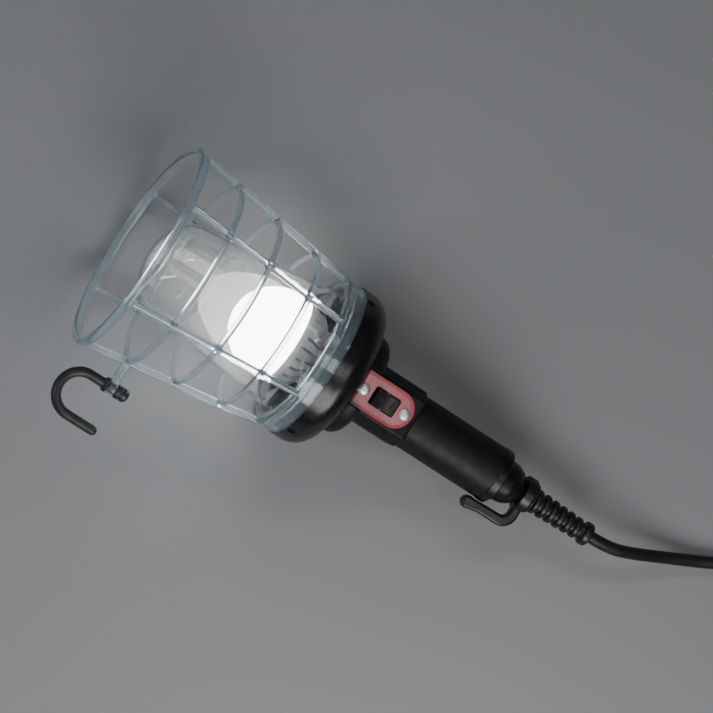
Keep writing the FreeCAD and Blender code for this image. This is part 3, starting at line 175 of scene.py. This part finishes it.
def make_materials():
    """One material for each of the record's slots."""
    black = (0.006, 0.006, 0.007)
    soot = (0.014, 0.0145, 0.016)
    clear("clear_guard", (0.72, 0.85, 0.92), 1.52, (0.02, 0.07), 0.88, 0.06)
    clear("clear_globe", (0.95, 0.965, 0.97), 1.45, (0.02, 0.06), 0.96, 0.02)
    opal("opal")
    circuit("circuit")

    metal("screw_steel", (0.93, 0.93, 0.92), (0.97, 0.97, 0.96), (0.36, 0.55))
    metal("black_steel", (0.03, 0.03, 0.032), (0.06, 0.06, 0.064), (0.3, 0.45))
    metal("aluminium", (0.72, 0.73, 0.74), (0.84, 0.84, 0.85), (0.3, 0.45))
    metal("nickel", (0.66, 0.64, 0.60), (0.78, 0.76, 0.72), (0.12, 0.26))
    metal("brass", (0.70, 0.50, 0.20), (0.84, 0.66, 0.34), (0.2, 0.35))
    metal("zinc_steel", (0.55, 0.56, 0.58), (0.70, 0.71, 0.72), (0.28, 0.42))

    # The last tuple of a plastic is its grain: lumps per metre, strength and height in metres.
    plastic("rubber", black, soot, (0.7, 0.85), (2400.0, 0.4, 0.00004))
    plastic("insulator", black, soot, (0.1, 0.2))
    plastic("switch_black", black, soot, (0.4, 0.55), (2200.0, 0.3, 0.00004))
    plastic("wire_black", black, soot, (0.4, 0.5))
    plastic("tie_black", black, soot, (0.85, 0.95), (1400.0, 0.9, 0.0003))
    plastic("head_gloss", (0.005, 0.005, 0.006), (0.008, 0.009, 0.010), (0.2, 0.32),
            (900.0, 0.1, 0.00005))
    plastic("handle_black", (0.005, 0.005, 0.006), (0.010, 0.011, 0.012), (0.42, 0.56),
            (2600.0, 0.55, 0.00006), specular=0.28)
    plastic("cap_black", (0.005, 0.005, 0.006), (0.009, 0.0095, 0.0105), (0.26, 0.4),
            (2200.0, 0.3, 0.00005), specular=0.35)
    plastic("rocker_black", (0.006, 0.006, 0.007), (0.011, 0.011, 0.012), (0.3, 0.42),
            (2600.0, 0.3, 0.00004))
    plastic("cord_black", (0.004, 0.004, 0.0045), (0.008, 0.0085, 0.009), (0.4, 0.55),
            (1800.0, 0.3, 0.00006))
    plastic("plug_black", (0.005, 0.005, 0.006), (0.010, 0.010, 0.011), (0.4, 0.52),
            (1900.0, 0.3, 0.00005))
    plastic("hook_black", (0.005, 0.0055, 0.006), (0.010, 0.0105, 0.0115), (0.28, 0.4),
            (1600.0, 0.25, 0.00005))
    plastic("hook_grey", (0.016, 0.018, 0.021), (0.028, 0.031, 0.035), (0.34, 0.48),
            (900.0, 0.25, 0.00008))
    plastic("boot_rubber", (0.005, 0.0055, 0.006), (0.010, 0.0105, 0.011), (0.3, 0.45),
            (1600.0, 0.3, 0.00005))
    plastic("plate_red", (0.34, 0.015, 0.028), (0.46, 0.030, 0.048), (0.26, 0.36),
            (1800.0, 0.12, 0.00003))
    plastic("inlay_pink", (0.33, 0.030, 0.048), (0.50, 0.10, 0.12), (0.22, 0.32),
            (1500.0, 0.1, 0.00003), coat=0.25, patches=45.0)
    plastic("heat_sink", (0.82, 0.85, 0.87), (0.90, 0.92, 0.93), (0.3, 0.42),
            (1500.0, 0.2, 0.00003))
    plastic("led", (0.9, 0.8, 0.35), (1.0, 0.9, 0.5), (0.25, 0.35))
    plastic("porcelain", (0.84, 0.83, 0.79), (0.92, 0.91, 0.87), (0.08, 0.16), coat=0.5)
    plastic("wire_white", (0.75, 0.75, 0.74), (0.85, 0.85, 0.84), (0.4, 0.5))


def dress(piece, slot):
    """Give a piece the material of a slot."""
    piece.data.materials.clear()
    piece.data.materials.append(MATERIALS[slot])


def dress_frame():
    """Give every CAD node the material of the slot that the record names for it."""
    for subpart in frame["record"]["subparts"]:
        for material_slot in frame["nodes"][subpart["node"]].material_slots:
            material_slot.material = MATERIALS[subpart["material_slot"]]


# ------------------------------------------------------------------ mesh helpers

def finish_mesh(name, bm, sharp=35.0):
    """Turn a bmesh drawn in lamp millimetres into a piece, with edges over sharp degrees kept sharp."""
    bmesh.ops.recalc_face_normals(bm, faces=bm.faces)
    bm.transform(LAMP)
    mesh = bpy.data.meshes.new(name)
    bm.to_mesh(mesh)
    bm.free()
    piece = bpy.data.objects.new(name, mesh)
    bpy.context.collection.objects.link(piece)
    mesh.shade_smooth()
    mesh.set_sharp_from_angle(angle=math.radians(sharp))
    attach(piece, "root")
    return piece


def arc(centre, radius, start, stop, count):
    """Points (x, r) on an arc, angles in degrees from +x towards +r."""
    points = []
    for step in range(count + 1):
        angle = math.radians(start + (stop - start) * step / count)
        points.append((centre[0] + radius * math.cos(angle), centre[1] + radius * math.sin(angle)))
    return points


def rounded_section(left, low, right, high, corner, steps=4):
    """The outline of a rectangle with round corners."""
    points = []
    for centre, start in (((right - corner, high - corner), 0.0), ((left + corner, high - corner), 90.0),
                          ((left + corner, low + corner), 180.0), ((right - corner, low + corner), 270.0)):
        points += arc(centre, corner, start, start + 90.0, steps)
    return points


def spin_outline(bm, outline, segments, centre=(0.0, 0.0)):
    """Turn a closed (x, radius) outline about an axis along X through centre = (y, z)."""
    rings = []
    for x, radius in outline:
        if abs(radius) < 1e-6:
            rings.append([bm.verts.new((x, centre[0], centre[1]))] * segments)
            continue
        ring = []
        for step in range(segments):
            angle = 2 * math.pi * step / segments
            ring.append(bm.verts.new((x, centre[0] + radius * math.sin(angle),
                                      centre[1] + radius * math.cos(angle))))
        rings.append(ring)
    for one, two in zip(rings, rings[1:] + rings[:1]):
        if one[0] is one[1] and two[0] is two[1]:
            continue
        for step in range(segments):
            after = (step + 1) % segments
            face = []
            for corner in (one[step], one[after], two[after], two[step]):
                if corner not in face:
                    face.append(corner)
            if len(face) > 2:
                bm.faces.new(face)


def add_tube(bm, outlines):
    """Join closed outlines of equal length into a capped tube."""
    loops = [[bm.verts.new(point) for point in points] for points in outlines]
    count = len(loops[0])
    for one, two in zip(loops, loops[1:]):
        for step in range(count):
            after = (step + 1) % count
            bm.faces.new((one[step], one[after], two[after], two[step]))
    bm.faces.new(list(reversed(loops[0])))
    bm.faces.new(loops[-1])


def fuse_skin(piece, voxel, rounds):
    """Fuse overlapping shells into one skin and let the joints between them flow."""
    fuse = piece.modifiers.new("fuse", "REMESH")
    fuse.mode = "VOXEL"
    fuse.voxel_size = voxel * MM
    fuse.use_smooth_shade = True
    relax = piece.modifiers.new("relax", "SMOOTH")
    relax.factor = 0.5
    relax.iterations = rounds
    graph = bpy.context.evaluated_depsgraph_get()
    mesh = bpy.data.meshes.new_from_object(piece.evaluated_get(graph))
    piece.modifiers.clear()
    piece.data = mesh
    mesh.shade_smooth()


# ------------------------------------------------------------------ the guard

RING_RADIUS = 70.0
RING_LENGTH = 6.0
RING_WIDTH = 5.0
RING_CORNER = 1.6
COLLAR_FRONT = 121.5
RIM_FRONT = 134.0
RIM_RADIUS = 52.5

RIB_COUNT = 6
RIB_FIRST_ANGLE = 30.0      # angle of the first rib from the switch side
RIB_START = 3.0             # where the ribs' middle line leaves the middle of the mouth ring
RIB_REAR_CENTRE = 50.8      # its radius at the rear
RIB_END_DEPTH = 2.0         # how far behind the collar's front that is
RIB_FROM = 1.5              # the rib itself runs from here in the ring
RIB_TO = COLLAR_FRONT + 2.5
RIB_HALF_WIDTH = 1.9
RIB_HALF_DEPTH = 2.4
RIB_CORNER = 1.5
RIB_SECTIONS = 24

HOOPS = [34.8, 66.1, 97.4]
HOOP_HALF = 1.8
HOOP_CORNER = 1.4
HOOP_INSET = 1.9            # how far a hoop's middle lies inside the ribs' middle line

LUG = (32.2, 37.4)          # front and rear faces of the lug
SHANK_Y = -81.5             # the front hook's swivel, across the lamp
NECK_RADIUS = 2.36          # bore of the lug
EYE_RADIUS = 4.6
EYE_CORNER = 0.6
# The tongue that carries the eye: Y, how much longer than the eye at each end, half thickness.
TONGUE = [(-61.5, 2.6, 2.4), (-64.5, 1.0, 2.2), (-67.5, 0.2, 2.3), (-72.0, 0.0, 2.8), (-77.5, 0.0, 3.4)]
TONGUE_CORNER = 1.2

GUARD_VOXEL = 0.7
GUARD_RELAX = 5             # rounds of smoothing after the shells are fused


def rib_centre(x):
    """Radius of a rib's middle line, as in the CAD."""
    front = RING_RADIUS - RING_WIDTH / 2
    return front - (x - RIB_START) * (front - RIB_REAR_CENTRE) / (COLLAR_FRONT + RIB_END_DEPTH - RIB_START)


def add_rib(bm, angle):
    """One bar of the guard, a rounded section that follows the guard's taper."""
    turn = Matrix.Rotation(math.radians(angle), 4, "X")
    outlines = []
    for step in range(RIB_SECTIONS + 1):
        x = RIB_FROM + (RIB_TO - RIB_FROM) * step / RIB_SECTIONS
        centre = rib_centre(x)
        section = rounded_section(-RIB_HALF_WIDTH, centre - RIB_HALF_DEPTH, RIB_HALF_WIDTH,
                                  centre + RIB_HALF_DEPTH, RIB_CORNER)
        outlines.append([turn @ Vector((x, across, out)) for across, out in section])
    add_tube(bm, outlines)


def add_hoop(bm, x):
    """One of the rings that tie the ribs together."""
    centre = rib_centre(x) - HOOP_INSET
    section = rounded_section(x - HOOP_HALF, centre - HOOP_HALF, x + HOOP_HALF, centre + HOOP_HALF,
                              HOOP_CORNER)
    spin_outline(bm, section, segments=200)


def add_lug(bm):
    """The clear eye for the front hook, on a tongue that widens into the rib on the hooks' side."""
    front, rear = LUG
    outlines = []
    for y, spread, thick in TONGUE:
        section = rounded_section(front - spread, -thick, rear + spread, thick, TONGUE_CORNER)
        outlines.append([Vector((x, y, z)) for x, z in section])
    add_tube(bm, outlines)
    eye = rounded_section(front, NECK_RADIUS, rear, EYE_RADIUS, EYE_CORNER)
    spin_outline(bm, eye, segments=64, centre=(SHANK_Y, 0.0))


def make_guard():
    """The clear cage: mouth ring, hoops, ribs and lug as one skin."""
    bm = bmesh.new()
    ring = rounded_section(0.0, RING_RADIUS - RING_WIDTH, RING_LENGTH, RING_RADIUS, RING_CORNER)
    spin_outline(bm, ring, segments=220)
    for x in HOOPS:
        add_hoop(bm, x)
    for number in range(RIB_COUNT):
        add_rib(bm, RIB_FIRST_ANGLE + 360.0 / RIB_COUNT * number)
    add_lug(bm)
    piece = finish_mesh("guard", bm)
    fuse_skin(piece, GUARD_VOXEL, GUARD_RELAX)
    dress(piece, "clear_guard")
    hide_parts("guard_ring", "guard_hoops", "guard_ribs", "guard_lug")


def make_guard_base():
    """The guard's base: a clear ring with a groove round it, an inner lip and a spigot into the head."""
    outside = RIM_RADIUS - 0.6
    spigot = RIM_RADIUS - 2.7
    inside = RIM_RADIUS - 4.8
    lip = RIM_RADIUS - 7.0
    lip_rear = COLLAR_FRONT + 3.2
    rear = RIM_FRONT + 6.2
    corner = 1.2
    chamfer = 0.6
    groove = COLLAR_FRONT + 6.1             # the groove's middle
    bottom = outside - 0.35
    points = arc((COLLAR_FRONT + corner, outside - corner), corner, 180.0, 90.0, 5)
    points += [(groove - 0.7, outside), (groove - 0.3, bottom), (groove + 0.3, bottom),
               (groove + 0.7, outside), (RIM_FRONT, outside), (RIM_FRONT, spigot), (rear, spigot),
               (rear, inside), (lip_rear, inside), (lip_rear, lip), (COLLAR_FRONT + chamfer, lip),
               (COLLAR_FRONT, lip + chamfer)]
    bm = bmesh.new()
    spin_outline(bm, points, segments=220)
    piece = finish_mesh("guard_base", bm, sharp=40.0)
    dress(piece, "clear_guard")
    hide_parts("guard_collar")


# ------------------------------------------------------------------ the globe

GLOBE_FRONT = 9.4
GLOBE_WALL = 2.0
CAP_RADIUS = 45.0           # the shallow front's own radius
CAP_EDGE = 18.8             # distance from the axis where it meets the shoulder
SHOULDER_RADIUS = 21.8
SIDE_TAPER = 5.9            # degrees
FLANGE_FRONT = 124.9
FLANGE_REAR = 127.9
FLANGE_RADIUS = 47.4


def make_globe():
    """A rounded jar of clear glass: shallow cap, round shoulder, conical side, foot and flange."""
    cap_centre = (GLOBE_FRONT + CAP_RADIUS, 0.0)
    cap_angle = math.degrees(math.asin(CAP_EDGE / CAP_RADIUS))
    cap_end = 180.0 - cap_angle
    side = 90.0 + SIDE_TAPER
    reach = CAP_RADIUS - SHOULDER_RADIUS
    shoulder = (cap_centre[0] - reach * math.cos(math.radians(cap_angle)),
                reach * math.sin(math.radians(cap_angle)))

    outside = [(GLOBE_FRONT, 0.0)]
    outside += arc(cap_centre, CAP_RADIUS, 180.0, cap_end, 20)[1:]
    outside += arc(shoulder, SHOULDER_RADIUS, cap_end, side, 18)[1:]
    outside += [(60.0, 34.55), (90.0, 37.8), (115.0, 40.5)]
    foot = [(118.0, 41.7), (120.4, 44.0), (121.6, 45.1), (FLANGE_FRONT, 45.1), (FLANGE_FRONT, FLANGE_RADIUS),
            (FLANGE_REAR, FLANGE_RADIUS), (FLANGE_REAR, 42.4), (122.8, 42.4), (119.4, 41.3), (116.4, 39.0)]
    inside = [(113.0, 38.3), (90.0, 35.8), (60.0, 32.55)]
    inside += arc(shoulder, SHOULDER_RADIUS - GLOBE_WALL, side, cap_end, 18)
    inside += arc(cap_centre, CAP_RADIUS - GLOBE_WALL, cap_end, 180.0, 20)[1:-1]
    inside += [(GLOBE_FRONT + GLOBE_WALL, 0.0)]

    bm = bmesh.new()
    spin_outline(bm, outside + foot + inside, segments=200)
    piece = finish_mesh("globe_glass", bm, sharp=50.0)
    dress(piece, "clear_globe")
    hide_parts("globe")


# ------------------------------------------------------------------ the strain relief

CAP_REAR = 266.0
BOOT_END = 343.0
BOOT_BORE = 4.05
BOOT_RIBS = 6
BOOT_RIBS_FROM = CAP_REAR + 33.2
BOOT_RIBS_TO = BOOT_END - 6.4
BOOT_RIB_LENGTH = 3.9
BOOT_RIB = (8.2, 0.24)      # radius of the first rib, and how much less each next one has
BOOT_GROOVE = (6.2, 0.16)   # the same for the grooves between them


def boot_rib(x, rib, groove):
    """A plump rib that starts at x, from a groove's radius up to the rib's and back."""
    half = BOOT_RIB_LENGTH / 2
    points = []
    for step in range(11):
        angle = math.pi * step / 10
        along = math.copysign(abs(math.cos(angle)) ** 0.7, math.cos(angle))
        points.append((x + half - half * along, groove + (rib - groove) * math.sin(angle) ** 0.6))
    return points


def make_boot():
    """The strain relief: a head held in the cap, rounded ribs that shrink towards the cord, an end collar."""
    head, neck = 10.5, 6.3
    points = [(CAP_REAR - 1.8, BOOT_BORE), (CAP_REAR - 1.8, head), (CAP_REAR + 1.6, head),
              (CAP_REAR + 1.6, neck), (CAP_REAR + 30.3, neck)]
    points += arc((CAP_REAR + 31.4, 9.1), 1.1, 180.0, 0.0, 8)       # a bead behind the rear hook's eye
    points += [(CAP_REAR + 32.7, 6.4)]
    pitch = (BOOT_RIBS_TO - BOOT_RIBS_FROM) / BOOT_RIBS
    for number in range(BOOT_RIBS):
        rib = BOOT_RIB[0] - BOOT_RIB[1] * number
        groove = BOOT_GROOVE[0] - BOOT_GROOVE[1] * number
        points += boot_rib(BOOT_RIBS_FROM + pitch * number, rib, groove)
    points += [(BOOT_END - 6.1, 5.6)]
    points += arc((BOOT_END - 4.2, 6.4), 1.4, 180.0, 90.0, 6)
    points += arc((BOOT_END - 1.6, 6.2), 1.5, 90.0, 0.0, 6)
    points += [(BOOT_END, 5.0), (BOOT_END - 0.4, 4.4), (BOOT_END - 2.0, BOOT_BORE)]
    bm = bmesh.new()
    spin_outline(bm, points, segments=120)
    piece = finish_mesh("strain_relief", bm, sharp=60.0)
    dress(piece, "boot_rubber")
    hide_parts("cord_boot")


# ------------------------------------------------------------------ the cord

CORD_RADIUS = 4.0 * MM
LEAD = [(174.1, 21.3, 26.7), (189.0, 21.4, 24.8), (206.0, 27.2, 18.8), (225.0, 35.9, 11.3),
        (246.0, 45.2, 5.9), (270.0, 57.5, 4.2), (296.0, 78.0, 4.0), (324.0, 100.0, 4.0)]
TAIL = [(408.2, 62.2, 24.8), (415.0, 43.4, 25.2), (420.3, 24.5, 22.0), (423.5, 5.5, 14.5),
        (423.5, -13.0, 8.8), (420.0, -30.5, 7.5)]
COIL_CENTRE = (351.3, 41.5)
COIL_START = 115.0          # degrees; the coil runs clockwise seen from above
COIL_STOP = 20.0
LAYERS = [(4.0, [64.5, 56.5, 48.5, 40.5]), (10.93, [44.5, 52.5, 60.5]),
          (17.86, [64.5, 56.5, 48.5, 40.5]), (24.78, [44.5, 52.5, 60.5])]
TURN_POINTS = 20            # control points for each turn of the coil
CROSSING = 0.2              # share of a turn in which the cord moves over to the next ring


def coil_points():
    """The coil's turns: rings side by side, each with a short crossing to the next."""
    rings = [(radius, height) for height, radii in LAYERS for radius in radii]
    turns = len(rings) - 1 + ((COIL_START - COIL_STOP) % 360.0) / 360.0
    whole = round(turns * TURN_POINTS)
    inset = math.cos(math.pi / TURN_POINTS) ** 0.5      # the spline runs inside its control points
    points = []
    for step in range(1, whole):
        turn = turns * step / whole
        ring = min(int(turn), len(rings) - 1)
        after = min(ring + 1, len(rings) - 1)
        share = max(0.0, (turn - ring - 1.0 + CROSSING) / CROSSING)
        share = share * share * (3.0 - 2.0 * share)
        radius = (rings[ring][0] + (rings[after][0] - rings[ring][0]) * share) / inset
        height = rings[ring][1] + (rings[after][1] - rings[ring][1]) * share
        angle = math.radians(COIL_START - 360.0 * turn)
        points.append((COIL_CENTRE[0] + radius * math.cos(angle),
                       COIL_CENTRE[1] + radius * math.sin(angle), height))
    return points


def make_curve(name, points):
    """A round tube along a smooth spline whose control points are given in millimetres."""
    curve = bpy.data.curves.new(name, "CURVE")
    curve.dimensions = "3D"
    spline = curve.splines.new("NURBS")
    spline.points.add(len(points) - 1)
    for target, point in zip(spline.points, points):
        target.co = (*(Vector(point) * MM), 1.0)
    spline.order_u = 3
    spline.use_endpoint_u = True
    spline.resolution_u = 6
    curve.bevel_depth = CORD_RADIUS
    curve.bevel_resolution = 5
    curve.use_fill_caps = True
    piece = bpy.data.objects.new(name, curve)
    bpy.context.collection.objects.link(piece)
    return piece


def make_cord():
    """The mains cord from the strain relief to its plug, most of it in a tied coil."""
    cord = make_curve("mains_cord", LEAD + coil_points() + TAIL)
    dress(cord, "cord_black")
    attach(cord, "root")
    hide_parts("cord_lead", "cord_coil", "cord_tail")


# ------------------------------------------------------------------ floor, light and camera

FLOOR_SIZE = 6.0
CAMERA_PLACE = Vector((-0.33982, -0.09009, 2.47566))
CAMERA_TURN = (-1.605, -8.055, 32.5)        # degrees about X, Y and Z
CAMERA_LENS = 201.77
CAMERA_SENSOR = 36.0
CAMERA_REACH = 30.0
WORLD_COLOUR = (0.75, 0.8, 0.86, 1.0)
WORLD_STRENGTH = 0.08


def make_floor():
    """A plain matt floor, very slightly mottled."""
    bm = bmesh.new()
    bmesh.ops.create_grid(bm, x_segments=4, y_segments=4, size=FLOOR_SIZE)
    mesh = bpy.data.meshes.new("floor")
    bm.to_mesh(mesh)
    bm.free()
    floor = bpy.data.objects.new("floor", mesh)
    bpy.context.collection.objects.link(floor)
    tree, shader = new_material("floor")
    colour_spread(tree, shader, noise(tree, 2.0, 2.0), (0.27, 0.277, 0.288), (0.29, 0.297, 0.308))
    shader.inputs["Roughness"].default_value = 0.75
    dress(floor, "floor")


def area_light(name, place, target, size, power, colour=(1.0, 1.0, 1.0)):
    """A rectangular soft light at place that faces target."""
    light = bpy.data.lights.new(name, "AREA")
    light.shape = "RECTANGLE"
    light.size, light.size_y = size
    light.energy = power
    light.color = colour
    item = bpy.data.objects.new(name, light)
    item.location = place
    item.rotation_euler = (Vector(target) - Vector(place)).to_track_quat("-Z", "Y").to_euler()
    bpy.context.collection.objects.link(item)


def make_lights():
    """A soft key and overhead light, two long strips for the gloss, and a dim sky."""
    area_light("key", place=(0.36, -0.55, 0.62), target=(0.14, -0.18, 0.0), size=(0.5, 0.5), power=4.9)
    area_light("overhead", place=(0.62, 0.10, 1.60), target=(0.0, 0.02, 0.08), size=(0.5, 0.5), power=2.4)
    area_light("upper_strip", place=(-0.55, 0.95, 1.5), target=(-0.05, 0.02, 0.05), size=(1.3, 0.14),
               power=4.6)
    area_light("front_strip", place=(-1.15, -0.55, 0.95), target=(-0.1, 0.0, 0.07), size=(0.14, 1.2),
               power=4.2, colour=(0.95, 0.975, 1.0))
    world = bpy.data.worlds.new("studio")
    world.use_nodes = True
    sky = world.node_tree.nodes["Background"]
    sky.inputs["Color"].default_value = WORLD_COLOUR
    sky.inputs["Strength"].default_value = WORLD_STRENGTH
    bpy.context.scene.world = world


def make_camera():
    """The camera stands about 2.5 m above the floor and looks almost straight down."""
    camera = bpy.data.cameras.new("camera")
    camera.sensor_width = CAMERA_SENSOR
    camera.lens = CAMERA_LENS
    camera.clip_end = CAMERA_REACH
    item = bpy.data.objects.new("camera", camera)
    turn = Euler([math.radians(angle) for angle in CAMERA_TURN])
    item.matrix_world = Matrix.LocRotScale(CAMERA_PLACE, turn, None)
    bpy.context.collection.objects.link(item)
    bpy.context.scene.camera = item


make_materials()
dress_frame()
make_guard()
make_guard_base()
make_globe()
make_boot()
make_cord()
make_floor()
make_lights()
make_camera()
